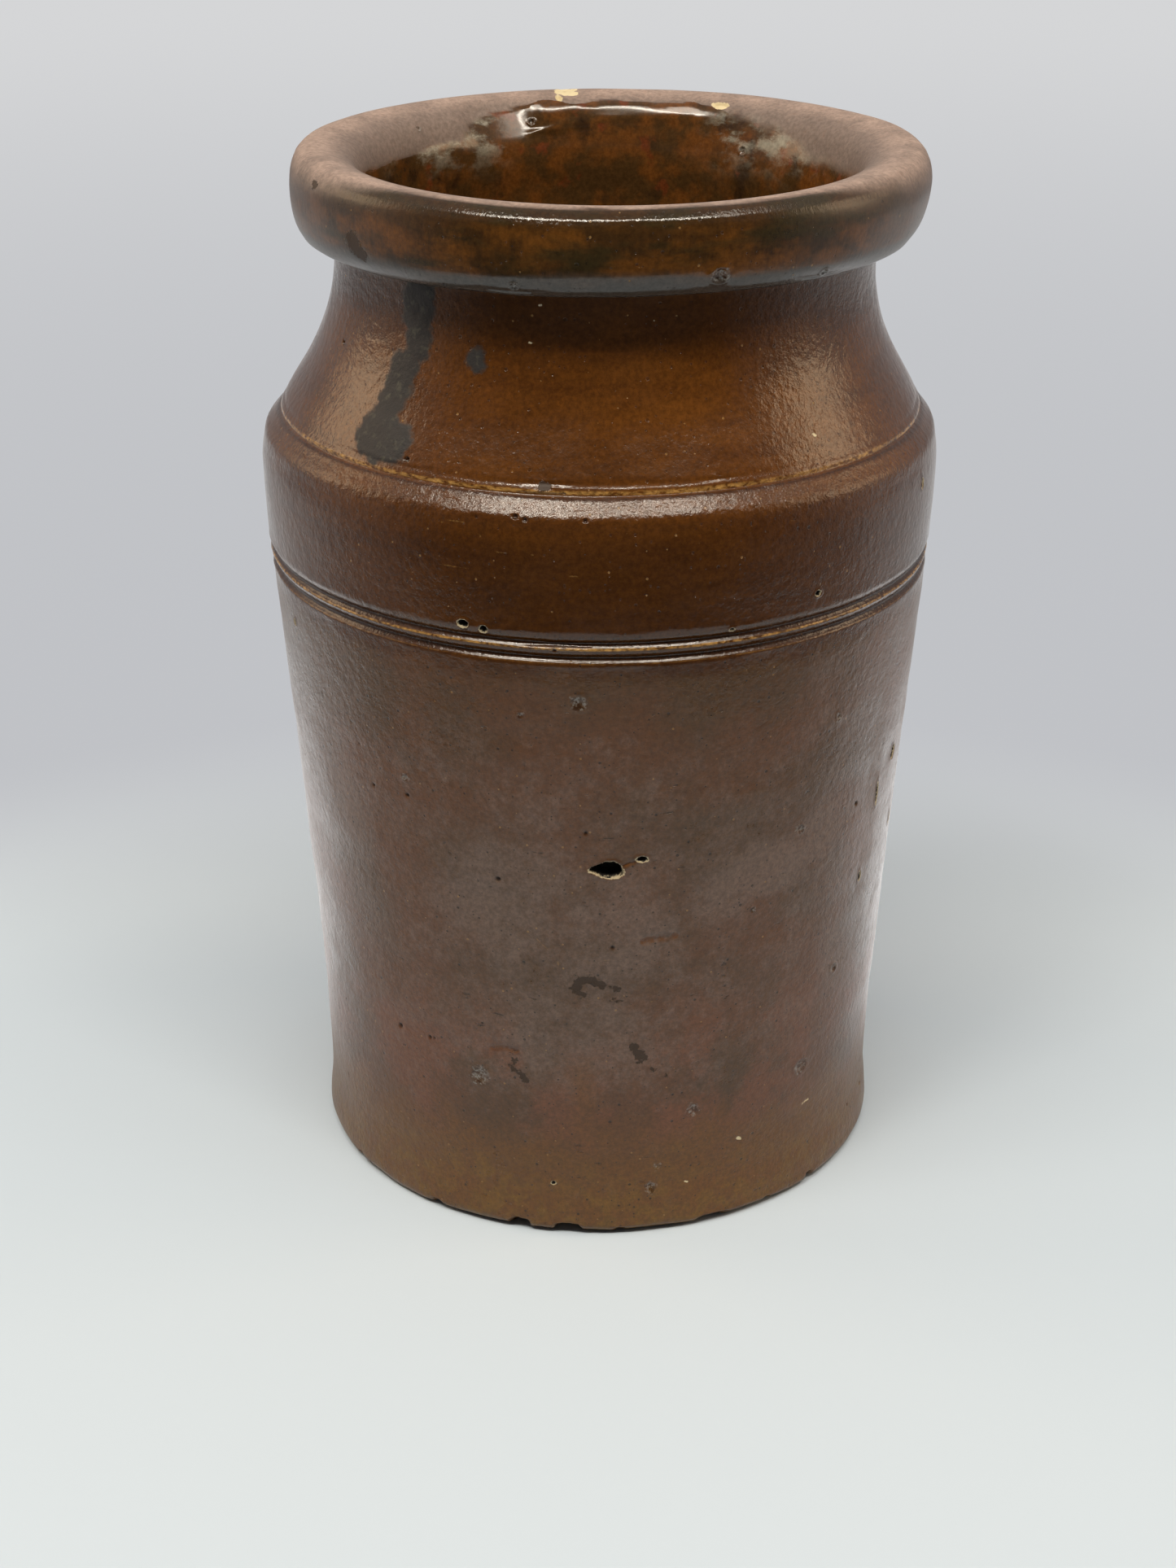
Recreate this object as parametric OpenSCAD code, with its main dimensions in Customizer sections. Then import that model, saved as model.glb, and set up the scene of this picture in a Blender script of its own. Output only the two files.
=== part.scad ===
// Open stoneware crock for fermenting food in brine, with a rolled rim,
// and the pair of half-round weights that hold the food under the brine.
// Millimetres, +Z up, origin at the centre of the base.

/* [Crock] */
// Height of the crock from the base to the top of the rim
crock_h = 210; // [200:1:225]
// Radius at the bottom of the foot, where the clay flares out a little
foot_r = 59.9; // [59.4:0.1:62]
// Height of the foot's flare, up to the narrowest ring of the wall
foot_h = 12.2; // [8:0.2:18]
// Outer radius of that narrowest ring
waist_r = 59.1; // [57:0.1:59.2]
// Rounded edge all round the underside
base_edge = 1.4; // [0.4:0.1:2]

/* [Double groove] */
// Height of the upper lip of the double groove
groove_z = 134.4; // [128:0.2:138]
// Outer radius just above the double groove
band_r = 66.8; // [66:0.1:67.2]
// Height of each of the two cuts
cut_h = 2.9; // [2:0.1:3.2]
// Depth of each cut
cut_depth = 0.9; // [0.4:0.1:1.4]

/* [Shoulder] */
// Greatest outer radius, at the bottom of the rounded shoulder
shoulder_r = 67.3; // [67:0.1:69]
// Height where the shoulder starts to turn in
shoulder_z = 150; // [148:0.2:151]
// Height of the fine step between the shoulder and the neck's cone
step_z = 159.2; // [158:0.2:160]
// Depth of the fine groove at the step
step_depth = 0.7; // [0.3:0.1:1]

/* [Neck and rim] */
// Outer radius of the short straight neck
neck_r = 52.4; // [52:0.1:54]
// Drop from the top of the rim to the neck's straight part
neck_drop = 21; // [20:0.2:23]
// Greatest outer radius of the rolled rim
rim_r = 61.3; // [60.6:0.1:63]
// Height of the rolled rim
rim_h = 16.4; // [15:0.1:17]
// Drop from the top of the rim to its widest ring
rim_widest_drop = 6; // [5:0.2:7]
// Radius of the crown, the highest ring of the rim
crown_r = 57.8; // [56.5:0.1:58]
// Radius of the inner edge of the crown
lip_r = 51.5; // [50:0.1:52.5]

/* [Inside] */
// Radius of the straight throat, the narrowest part of the mouth
throat_r = 46.5; // [46:0.1:47.5]
// Length of the straight throat
throat_len = 14; // [10:1:16]
// Thickness of the floor
floor_t = 9; // [7:0.5:12]
// Wall thickness of the body
wall_t = 7; // [6:0.1:8]
// Rounding between the floor and the wall
floor_round = 8; // [5:0.5:8]

/* [Weights] */
// Radius of the disc that the two half-round weights make together
weight_r = 43.6; // [40:0.1:43.8]
// Thickness of the weights
weight_t = 22; // [14:1:30]
// Gap between the straight sides of the two halves
weight_gap = 1.6; // [1:0.1:3]
// Radius of the finger hole, half of it in each weight
finger_r = 10; // [8:0.5:13]
// Rounding of the weights' edges
weight_round = 2.5; // [1:0.5:4]
// Running clearance under the weights
weight_lift = 0.4; // [0.3:0.1:0.6]

/* [Hidden] */
$fn = 96;

CLAY = [0.33, 0.22, 0.14];
STONE = [0.78, 0.70, 0.58];

groove_low_z = groove_z - 2 * cut_h;
throat_top_z = crock_h - 18;
throat_low_z = throat_top_z - throat_len;
rim_widest_z = crock_h - rim_widest_drop;
rim_low_z = crock_h - rim_h;
neck_z = crock_h - neck_drop;

// Points along an ellipse's arc, from angle a0 to a1, both ends included
function arc(cx, cz, rx, rz, a0, a1, n) =
    [for (i = [0:n]) let (a = a0 + (a1 - a0) * i / n) [cx + rx * cos(a), cz + rz * sin(a)]];

// Points along a curve that leaves p0 towards p1 and arrives at p2 from p1
function bend(p0, p1, p2, n) =
    [for (i = [0:n]) let (t = i / n)
        (1 - t) * (1 - t) * p0 + 2 * t * (1 - t) * p1 + t * t * p2];

// Outer radius of the wall between the waist and the double groove: it opens slowly, then faster
function wall_r(z) =
    waist_r + (band_r - 0.5 - waist_r) * pow((z - foot_h) / (groove_low_z - foot_h), 1.35);

// The foot's flare, from its rounded bottom edge up to the waist
foot_line = concat(
    arc(foot_r - base_edge, base_edge, base_edge, base_edge, -90, 0, 5),
    [for (i = [1:8]) let (t = i / 8)
        [waist_r + (foot_r - waist_r) * (1 + cos(180 * t)) / 2,
         base_edge + (foot_h - base_edge) * t]]);

// The wall from the waist to the lower arris of the double groove
wall_line = [for (i = [1:24]) let (z = foot_h + (groove_low_z - foot_h) * i / 24) [wall_r(z), z]];

// Each cut has a sharp lower arris, a deep bottom just above it and a long slope out to its upper lip
function cut_line(arris_r, z, lip_r) = [
    [arris_r - 0.9 * cut_depth, z + 0.22 * cut_h],
    [arris_r - cut_depth, z + 0.34 * cut_h],
    [lip_r - 0.55 * cut_depth, z + 0.62 * cut_h],
    [lip_r - 0.15 * cut_depth, z + 0.86 * cut_h],
    [lip_r, z + cut_h]];
groove_line = concat(
    cut_line(band_r - 0.5, groove_low_z, band_r - 0.25),
    cut_line(band_r - 0.25, groove_low_z + cut_h, band_r));

// The shoulder turns in along an ellipse, this far in and up
shoulder_round_r = 9;
shoulder_round_h = 11.5;

// The plain band and the rounded shoulder above it, up to the step
shoulder_turn = asin((step_z - shoulder_z) / shoulder_round_h);
shoulder_line = concat(
    [for (i = [1:4]) [band_r + (shoulder_r - band_r) * sin(22.5 * i), groove_z + (shoulder_z - groove_z) * i / 4]],
    arc(shoulder_r - shoulder_round_r, shoulder_z, shoulder_round_r, shoulder_round_h,
        shoulder_turn / 10, shoulder_turn, 9));
step_r = shoulder_r - shoulder_round_r * (1 - cos(shoulder_turn));

// The cone above the step runs straight, then hollows into the straight neck
cone_line = concat(
    [[step_r - step_depth, step_z + 0.2], [step_r - 0.4, step_z + 0.8],
     [step_r - 1, step_z + 1.8], [step_r - 1.3, step_z + 2],
     [step_r - 1.4, step_z + 2.7], [neck_r + 8.1, step_z + 5.7]],
    bend([neck_r + 6.2, step_z + 8.8], [neck_r, step_z + 19], [neck_r, neck_z], 14));

// The rolled rim: a fillet out of the neck, the roll, the crown, and the flare down to the throat
rim_line = concat(
    bend([neck_r, rim_low_z - 1.2], [neck_r, rim_low_z + 0.5], [neck_r + 1.6, rim_low_z + 0.6], 4),
    arc(rim_r - 3.6, rim_widest_z, 3.6, rim_widest_z - rim_low_z, -112, -3, 16),
    arc(crown_r, rim_widest_z, rim_r - crown_r, rim_widest_drop, 0, 90, 10),
    bend([crown_r - 2, crock_h - 0.1], [lip_r + 1.5, crock_h - 0.7], [lip_r, crock_h - 1.2], 3),
    bend([lip_r - 0.6, crock_h - 1.5], [throat_r + 0.4, crock_h - 2.6], [throat_r, throat_top_z], 10));

// The inside, from the throat out under the shoulder and down to the floor
inside_r = shoulder_r - wall_t;
floor_r = waist_r - wall_t;
inside_line = concat(
    [[throat_r, throat_low_z]],
    bend([throat_r + 0.8, throat_low_z - 0.9], [throat_r + 2, throat_low_z - 11],
         [throat_r + 6.5, shoulder_z + 9], 8),
    bend([throat_r + 8.5, shoulder_z + 6.6], [inside_r, shoulder_z + 2], [inside_r, shoulder_z - 12], 8),
    [for (i = [1:12]) let (t = i / 12, z = (shoulder_z - 12) * (1 - t) + (floor_t + floor_round) * t)
        [floor_r + (inside_r - floor_r) * pow(1 - t, 1.35), z]],
    arc(floor_r - floor_round, floor_t + floor_round, floor_round, floor_round, -9, -90, 8),
    [[0, floor_t]]);

// One thrown and fired piece: foot, wall, shoulder, neck and rolled rim
module crock() {
    color(CLAY)
        rotate_extrude($fn = 128)
            polygon(concat([[0, 0]], foot_line, wall_line, groove_line, shoulder_line,
                           cone_line, rim_line, inside_line));
}

// A flat disc with rounded edges and a rounded finger hole through its middle
module weight_disc() {
    translate([0, 0, floor_t + weight_lift])
        rotate_extrude($fn = 96)
            polygon(concat(
                arc(finger_r + weight_round, weight_round, weight_round, weight_round, 180, 270, 6),
                arc(weight_r - weight_round, weight_round, weight_round, weight_round, -90, 0, 6),
                arc(weight_r - weight_round, weight_t - weight_round, weight_round, weight_round, 0, 90, 6),
                arc(finger_r + weight_round, weight_t - weight_round, weight_round, weight_round, 90, 180, 6)));
}

// The half of the disc on one side of the gap; side is -1 or 1 along X
module half_weight(side) {
    color(STONE)
        intersection() {
            weight_disc();
            translate([side > 0 ? weight_gap / 2 : -2 * weight_r - weight_gap / 2, -2 * weight_r, 0])
                cube([2 * weight_r, 4 * weight_r, floor_t + 3 * weight_t]);
        }
}

module weight_left() { half_weight(-1); }

module weight_right() { half_weight(1); }

crock();
weight_left();
weight_right();
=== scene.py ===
"""An old thrown stoneware crock in brown glaze, with the two loose half-round weights inside it.

Shapes are worked out in millimetres and written to Blender in metres. Places on the crock are given
as an azimuth and a height: azimuth 0 faces the front (-Y) and grows towards the right (+X).
"""
import math
from functools import reduce
from itertools import product

import bmesh
import bpy
import numpy as np
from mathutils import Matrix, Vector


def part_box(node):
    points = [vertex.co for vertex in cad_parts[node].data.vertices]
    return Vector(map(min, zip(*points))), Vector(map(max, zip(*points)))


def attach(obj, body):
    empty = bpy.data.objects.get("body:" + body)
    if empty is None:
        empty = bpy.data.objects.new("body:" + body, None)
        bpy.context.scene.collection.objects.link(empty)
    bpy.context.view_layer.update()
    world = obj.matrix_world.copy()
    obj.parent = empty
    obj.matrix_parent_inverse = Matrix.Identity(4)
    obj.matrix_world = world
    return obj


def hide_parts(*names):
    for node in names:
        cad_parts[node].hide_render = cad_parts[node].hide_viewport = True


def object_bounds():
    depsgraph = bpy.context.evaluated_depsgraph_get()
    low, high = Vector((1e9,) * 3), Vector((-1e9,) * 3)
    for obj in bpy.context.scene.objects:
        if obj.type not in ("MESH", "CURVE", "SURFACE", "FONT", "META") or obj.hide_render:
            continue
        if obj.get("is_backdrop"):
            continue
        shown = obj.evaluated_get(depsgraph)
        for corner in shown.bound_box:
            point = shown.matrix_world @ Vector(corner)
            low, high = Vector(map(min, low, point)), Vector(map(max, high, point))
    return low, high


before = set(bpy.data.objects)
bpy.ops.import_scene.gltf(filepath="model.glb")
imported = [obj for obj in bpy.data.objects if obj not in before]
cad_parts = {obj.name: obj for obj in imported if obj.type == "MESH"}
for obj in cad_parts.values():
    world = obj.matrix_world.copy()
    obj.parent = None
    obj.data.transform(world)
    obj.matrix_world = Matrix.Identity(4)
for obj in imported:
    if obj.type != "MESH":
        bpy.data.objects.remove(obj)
cad_lo, cad_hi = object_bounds()

MM = 0.001
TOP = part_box("crock")[1].z / MM

# Heights on the crock, as in part.scad
FOOT_H = 12.2
LOW_ARRIS_Z, HIGH_ARRIS_Z, GROOVE_TOP_Z = 128.6, 131.5, 134.4
STEP_Z = 159.2
ROLL_LOW_Z = TOP - 16.4
THROAT_TOP_Z = TOP - 18


# -------- shape helpers

def ease(value, low, high):
    """0 below low, 1 above high, and a smooth rise between them."""
    t = np.clip((value - low) / (high - low), 0, 1)
    return t * t * (3 - 2 * t)


def bump(value, middle, spread):
    return np.exp(-(((value - middle) / spread) ** 2))


def noise(points, size, seed):
    """A smooth random field from about -1 to 1 that changes over size."""
    lattice = np.random.default_rng(seed).uniform(-1, 1, (32, 32, 32))
    p = points / size + 400.5
    cell = np.floor(p).astype(int)
    f = p - cell
    f = f * f * (3 - 2 * f)
    total = 0
    for corner in product((0, 1), repeat=3):
        weight = np.prod(np.where(corner, f, 1 - f), axis=-1)
        k = (cell + corner) % 32
        total = total + weight * lattice[k[..., 0], k[..., 1], k[..., 2]]
    return total


def rough_noise(points, size, seed, octaves=3):
    return sum(noise(points, size / 2**k, seed + k) / 2**k for k in range(octaves)) / 1.6


def turned(azimuth, radius, height):
    a = np.radians(azimuth)
    return np.stack([radius * np.sin(a), -radius * np.cos(a), height + 0 * a], axis=-1)


# -------- the crock's outline, from the frame

OUTLINE_STEP = 0.1

# Where the outline keeps its sharp turns: height and spread
CRISP = [((LOW_ARRIS_Z + GROOVE_TOP_Z) / 2, 4.5), (STEP_Z + 0.8, 2.2), (0, 3), (ROLL_LOW_Z - 0.5, 1.2)]


def turned_outline(node):
    """Radius and height from the middle of the underside, up the outside, over the rim and down
    to the middle of the floor."""
    bm = bmesh.new()
    bm.from_mesh(node.data)
    bmesh.ops.remove_doubles(bm, verts=bm.verts, dist=5e-6)
    cut = bmesh.ops.bisect_plane(
        bm, geom=[*bm.verts, *bm.edges, *bm.faces], plane_co=(0, 0, 0), plane_no=(0, 1, 0)
    )["geom_cut"]
    joined = {}
    for e in cut:
        if isinstance(e, bmesh.types.BMEdge) and max(v.co.z for v in e.verts) > 1e-6:
            for a, b in (e.verts, reversed(e.verts)):
                joined.setdefault(a, []).append(b)
    here = max((v for v in joined if v.co.z < 1e-6), key=lambda v: v.co.x)
    seen, points = {here}, [(0, 0), (here.co.x, here.co.z)]
    while True:
        ways = [v for v in joined[here] if v not in seen and v.co.x > 0]
        if not ways:
            break
        here = ways[0]
        seen.add(here)
        points.append((here.co.x, here.co.z))
    points.append((0, points[-1][1]))
    bm.free()
    return np.array(points) / MM


def smoothed(values, spread):
    reach = int(4 * spread / OUTLINE_STEP) + 1
    t = np.arange(-reach, reach + 1) * OUTLINE_STEP
    kernel = np.exp(-0.5 * (t / spread) ** 2)
    return np.convolve(np.pad(values, reach, mode="edge"), kernel / kernel.sum(), mode="valid")


class Outline:
    def __init__(self, points):
        run = np.r_[0, np.cumsum(np.hypot(*np.diff(points, axis=0).T))]
        run, keep = np.unique(run, return_index=True)
        self.s = np.arange(0, run[-1], OUTLINE_STEP)
        r, z = (np.interp(self.s, run, points[keep, k]) for k in (0, 1))
        self.top = int(np.argmax(z))
        outside = np.arange(len(z)) < self.top
        crisp = outside * np.maximum.reduce([bump(z, *place) for place in CRISP])
        crisp = ease(crisp, 0.25, 0.6)
        self.r = smoothed(r, 1.3) * (1 - crisp) + smoothed(r, 0.16) * crisp
        self.z = smoothed(z, 1.3) * (1 - crisp) + smoothed(z, 0.16) * crisp
        tr, tz = np.gradient(self.r), np.gradient(self.z)
        length = np.hypot(tr, tz) + 1e-9
        self.nr, self.nz = tz / length, -tr / length
        self.foot = int(np.argmax(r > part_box("crock")[1].x / MM * 0.8))

    def outside(self, height):
        """How far along the outline the outside reaches this height."""
        side = slice(self.foot, self.top + 1)
        return np.interp(height, np.maximum.accumulate(self.z[side]), self.s[side])

    def inside(self, height):
        side = slice(self.top, None)
        return np.interp(-np.asarray(height), -np.minimum.accumulate(self.z[side]), self.s[side])

    def at(self, s):
        return [np.interp(s, self.s, x) for x in (self.r, self.z, self.nr, self.nz)]


outline = Outline(turned_outline(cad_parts["crock"]))
OUT, IN = outline.outside, outline.inside
CREST = outline.s[outline.top]


# -------- marks left by throwing, firing and use

# Burst bubbles, open through the glaze with a thin pale lip:
# azimuth, height, half width, half height and depth
BLOWHOLES = [
    (1.2, 85.2, 3.2, 1.9, 3.4), (7.2, 87.4, 1.1, 0.6, 1.0), (-22, 134.9, 1.0, 0.8, 1.4),
    (-18.6, 134.3, 0.8, 0.8, 1.4), (36.8, 137.6, 0.7, 0.6, 1.0), (21, 133.8, 0.5, 0.4, 0.8),
    (66.5, 150, 0.5, 1.0, 0.8), (-65, 122, 0.5, 0.6, 0.8), (74, 74.6, 0.5, 1.2, 0.7),
    (58.5, 68.6, 0.5, 1.1, 0.7), (69, 92, 1.2, 1.6, 0.9), (62, 86, 0.5, 2.3, 0.6),
    (-9, 12, 0.5, 0.4, 0.6), (118, 96, 1.5, 1.1, 1.6), (-128, 66, 1.2, 1.6, 1.4),
    (164, 141, 0.9, 0.8, 1.1),
]

# Craters where a bubble healed over, with a pale grey ring: azimuth, height, radius and depth
CRATERS = [
    (-3.5, 120.7, 1.4, 0.25), (-23.5, 35.4, 2.0, 0.35), (44, 30, 1.7, 0.3), (52, 50, 1.0, 0.25),
    (18.5, 28, 1.3, 0.2), (10, 10.6, 1.2, 0.3), (11.5, 15.4, 0.6, 0.15), (-35.5, 99.5, 0.8, 0.2),
    (-13, 117.5, 0.5, 0.2), (45, 109.5, 0.7, 0.2), (38, 87.6, 0.9, 0.25), (28.5, 72.4, 0.6, 0.2),
    (18.4, 197.4, 1.5, 0.45), (40, 195.2, 0.8, 0.2), (-16, 195.6, 0.7, 0.2), (-150, 112, 1.3, 0.3),
    (97, 55, 1.6, 0.3),
]

# Craters on the inside of the mouth
INNER_CRATERS = [(-161, 205.2, 0.65, 0.3), (143.5, 200.6, 0.8, 0.25), (-128, 206.5, 0.5, 0.2)]

# Dark brown smudges, scars and pooled spots: a path of azimuths and heights, and its half width
SMUDGES = [
    ([(-4.6, 58.6), (-3.6, 60.2), (-1.6, 60.8), (0.2, 59.6)], 0.9), ([(-4.2, 57.4), (-2.8, 57.2)], 0.4),
    ([(2, 59), (3.4, 58.4)], 0.45), ([(2.2, 55.8), (3.2, 55.6)], 0.35),
    ([(6.4, 44.8), (7, 43.2), (8, 41.8)], 1.0), ([(10.2, 39.2), (10.4, 39)], 0.5),
    ([(12.6, 37.4), (12.8, 37.2)], 0.35), ([(-16.2, 40.6), (-17, 39), (-15, 37.6), (-14.2, 36)], 0.55),
    ([(-49, 199.6), (-47.2, 197.6)], 1.7), ([(-63, 207.2), (-62.4, 207)], 0.9),
    ([(-9.6, 160.9), (-9.2, 160.8)], 0.9), ([(100, 120), (101, 117.5), (100.6, 116)], 0.8),
    ([(-110, 44), (-107, 42.6), (-106, 44.5)], 0.9),
]

# Amber scars, where the glaze ran thin: a path and its half width
AMBER = [
    ([(-20.8, 42.4), (-18.4, 43.2), (-15.6, 42.8)], 0.5), ([(8, 69), (11, 69.6), (13.6, 69.6)], 0.8),
    ([(3.6, 86), (6, 87)], 0.35),
]

# Dark blue-grey slip that ran down the neck: a path and its half width
RUNS = [
    ([(-25.3, 180.4), (-25, 179.6)], 1.7), ([(-40.2, 190.2), (-40.2, 186.4)], 3.6),
    ([(-39.8, 183.4), (-39.2, 180.8)], 2.7), ([(-41.6, 176.4), (-42.4, 171.5), (-43.2, 168)], 3.3),
    ([(-44.4, 164.9), (-38.8, 164.3)], 3.9),
]

# Bare clay, chipped or never glazed: a path and its half width
CREAM = [
    ([(-13, 190.6), (-12.6, 190.6)], 0.2), ([(9.2, 188), (9.6, 188)], 0.15),
    ([(-14.8, 184), (-14.4, 183.9)], 0.15), ([(39.8, 165.6), (40.2, 165.4)], 0.35),
    ([(45.6, 20), (47.4, 20.4)], 0.3), ([(28.6, 18.4), (29.2, 18)], 0.3),
    ([(17.2, 10.8), (17.6, 10.7)], 0.25),
]

# Thin scratches: a path
SCRATCHES = [
    [(-14, 183.9), (-9.5, 183.3)], [(-48.4, 181.2), (-46.6, 179.4), (-45.6, 177.6)],
    [(-25.6, 153.6), (-24, 154.3), (-21.4, 154.2)], [(-19.4, 153.4), (-18.4, 151.2)],
    [(26, 151), (29, 152.4), (31.6, 153.2)], [(13, 150), (16, 151.8)],
    [(-5, 146), (-1, 145.2), (4, 145.6)], [(-12, 142), (-9, 141.4)],
    [(-16, 149.6), (-13, 149.2), (-10, 149.5)], [(-26, 146), (-20, 145.6)],
    [(18, 98), (17, 92), (17.4, 88)], [(-8, 64), (-3, 66), (2, 65)], [(6, 52), (9, 55), (12, 54.6)],
    [(-12, 70), (-8, 66), (-7, 62)],
]

# Lavender-grey bloom on the belly: azimuth, height, half width, half height and strength
BLOOM = [
    (31, 81, 13, 6.5, 1.0), (22, 76, 8, 5, 0.7), (44, 86, 6, 7, 0.75), (-14, 84, 12, 6, 0.55),
    (-18, 74, 14, 12, 0.6), (4, 70, 12, 14, 0.5), (-6, 46, 20, 14, 0.45), (60, 84, 3.5, 34, 0.6),
    (-52, 91, 6, 9, 0.6), (-56, 108, 5, 12, 0.35), (52, 54, 6, 7, 0.5), (40, 116, 5, 10, 0.35),
    (120, 78, 15, 10, 0.8), (-120, 92, 17, 12, 0.7), (175, 60, 18, 14, 0.6),
]

# Chips knocked out of the foot's edge: azimuth, half width, how far up and how deep
FOOT_CHIPS = [
    (-15.8, 2.4, 2.6, 0.9), (-6.2, 3.3, 2.2, 1.0), (22.8, 3.8, 1.3, 0.7), (48, 1.4, 2.0, 0.7),
    (36, 0.9, 1.2, 0.5), (4, 1.2, 0.9, 0.4), (-34, 1.6, 1.2, 0.5), (-58, 1.2, 1.4, 0.5),
    (92, 2.6, 1.6, 0.7), (141, 3.0, 2.0, 0.8), (-104, 2.0, 1.4, 0.6), (-163, 2.8, 1.8, 0.8),
]

# Chips out of the rim: azimuth, place along the outline past the crest, half width, half length, depth
RIM_CHIPS = [(-170.8, 2.0, 2.6, 2.8, 0.35), (-168.6, 5.4, 0.9, 1.5, 0.9), (153, 7.0, 2.0, 1.2, 0.6)]

# Pinholes: some on the shoulder's edge (azimuth, height, radius), and how many more at random
SHOULDER_PITS = [(-13.4, 156, 0.6), (-11.8, 155.6, 0.5), (-19.6, 155.4, 0.4), (-2.5, 155.8, 0.45)]
RANDOM_PITS = 100


def arc_gap(azimuth, middle):
    """Signed difference in degrees, the short way round."""
    return (azimuth - middle + 180) % 360 - 180


class Skin:
    """Points on the crock's surface, each known by its azimuth and its place along the outline."""

    def __init__(self, azimuth, s):
        self.azimuth, self.s = azimuth, s
        self.r, self.z, self.nr, self.nz = outline.at(s)
        self.points = turned(azimuth, self.r, self.z)
        self.wobble = rough_noise(self.points, 1.6, 11)

    def local(self, azimuth, s):
        """Millimetres to the right of a place and along the outline from it."""
        return np.radians(arc_gap(self.azimuth, azimuth)) * np.maximum(self.r, 5), self.s - s

    def oval(self, azimuth, s, half_w, half_h, ragged=0.25):
        """Millimetres inside an oval with a ragged edge; negative outside it."""
        across, along = self.local(azimuth, s)
        size = min(half_w, half_h)
        return (1 - np.hypot(across / half_w, along / half_h) + ragged * self.wobble) * size

    def path(self, places, half_width, ragged=0.3):
        """Millimetres inside a stroke through these azimuths and heights on the outside."""
        best = np.full(len(self.s), 1e3)
        for (a0, z0), (a1, z1) in zip(places, places[1:]):
            across, along = self.local(a0, OUT(z0))
            near_r = outline.at(OUT(z0))[0]
            run = np.array([math.radians(a1 - a0) * near_r, OUT(z1) - OUT(z0)])
            t = np.clip((across * run[0] + along * run[1]) / (run @ run + 1e-9), 0, 1)
            best = np.minimum(best, np.hypot(across - t * run[0], along - t * run[1]))
        return half_width * (1 + ragged * self.wobble) - best


def pinholes():
    """The shoulder's pinholes, and others scattered over the outside."""
    rng = np.random.default_rng(5)
    azimuths = rng.uniform(-176, 176, RANDOM_PITS)
    heights = rng.uniform(6, ROLL_LOW_Z - 6, RANDOM_PITS)
    sizes = 0.24 + 0.4 * rng.random(RANDOM_PITS) ** 3
    return [*SHOULDER_PITS, *zip(azimuths, heights, sizes)]


PITS = pinholes()


def marked_places():
    """Every place that needs a finer mesh: azimuth, place on the outline, reach and level."""
    for a, z, w, h, _ in BLOWHOLES:
        yield a, OUT(z), w + 0.5, h + 0.5, 3
    for a, z, r, _ in CRATERS:
        yield a, OUT(z), r * 1.3 + 0.3, r * 1.3 + 0.3, 3 if r < 1.1 else 2
    for a, z, r, _ in INNER_CRATERS:
        yield a, IN(z), r * 1.5 + 0.4, r * 1.5 + 0.4, 3
    for a, z, r in PITS:
        yield a, OUT(z), r + 0.3, r + 0.3, 3 if r > 0.4 else 2
    strokes = [(places, w + 0.5, 2 if w < 1 else 1, 5) for places, w in SMUDGES + AMBER + CREAM + RUNS]
    strokes += [(places, 0.5, 1, 9) for places in SCRATCHES]
    for places, reach, level, count in strokes:
        for (a0, z0), (a1, z1) in zip(places, places[1:]):
            for t in np.linspace(0, 1, count):
                yield a0 + (a1 - a0) * t, OUT(z0 + (z1 - z0) * t), reach, reach, level
    for a, w, up, _ in FOOT_CHIPS:
        yield a, OUT(0.5), w + 0.6, up + 1, 2
    for a, past, w, h, _ in RIM_CHIPS:
        yield a, CREST + past, w + 1.2, h + 1.2, 3


# -------- the mesh, finer where there are marks

COLUMNS = 192
FINEST = 3
SPLIT = 2**FINEST

# Spacing of the rows along the outline: height reached on the outside, and millimetres between rows
OUTSIDE_ROWS = [
    (0, 1.1), (5, 1.3), (FOOT_H, 1.9), (LOW_ARRIS_Z - 4, 2.2), (LOW_ARRIS_Z - 1.2, 0.45),
    (GROOVE_TOP_Z + 0.8, 0.45), (GROOVE_TOP_Z + 4, 2.0), (STEP_Z - 8, 1.8), (STEP_Z - 5, 0.9),
    (STEP_Z - 0.8, 0.5), (STEP_Z + 2.2, 0.5), (STEP_Z + 5, 1.8), (ROLL_LOW_Z - 3, 1.8),
    (ROLL_LOW_Z + 1, 0.9), (TOP - 5, 0.9), (TOP - 3.6, 0.42), (TOP - 0.9, 0.42), (TOP - 0.5, 0.9),
]
INSIDE_ROWS = [(TOP - 0.5, 0.9), (TOP - 10, 0.9), (THROAT_TOP_Z, 2.2), (170, 5), (20, 7)]


def row_places():
    spots = [(0, 6), (OUT(0) - 4, 4)]
    spots += [(OUT(z), gap) for z, gap in OUTSIDE_ROWS]
    spots += [(IN(z), gap) for z, gap in INSIDE_ROWS]
    s, gaps = np.array(spots).T
    place, places = 3.0, []
    while place < outline.s[-1] - 3:
        places.append(place)
        place += np.interp(place, s, gaps)
    return np.array(places)


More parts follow.
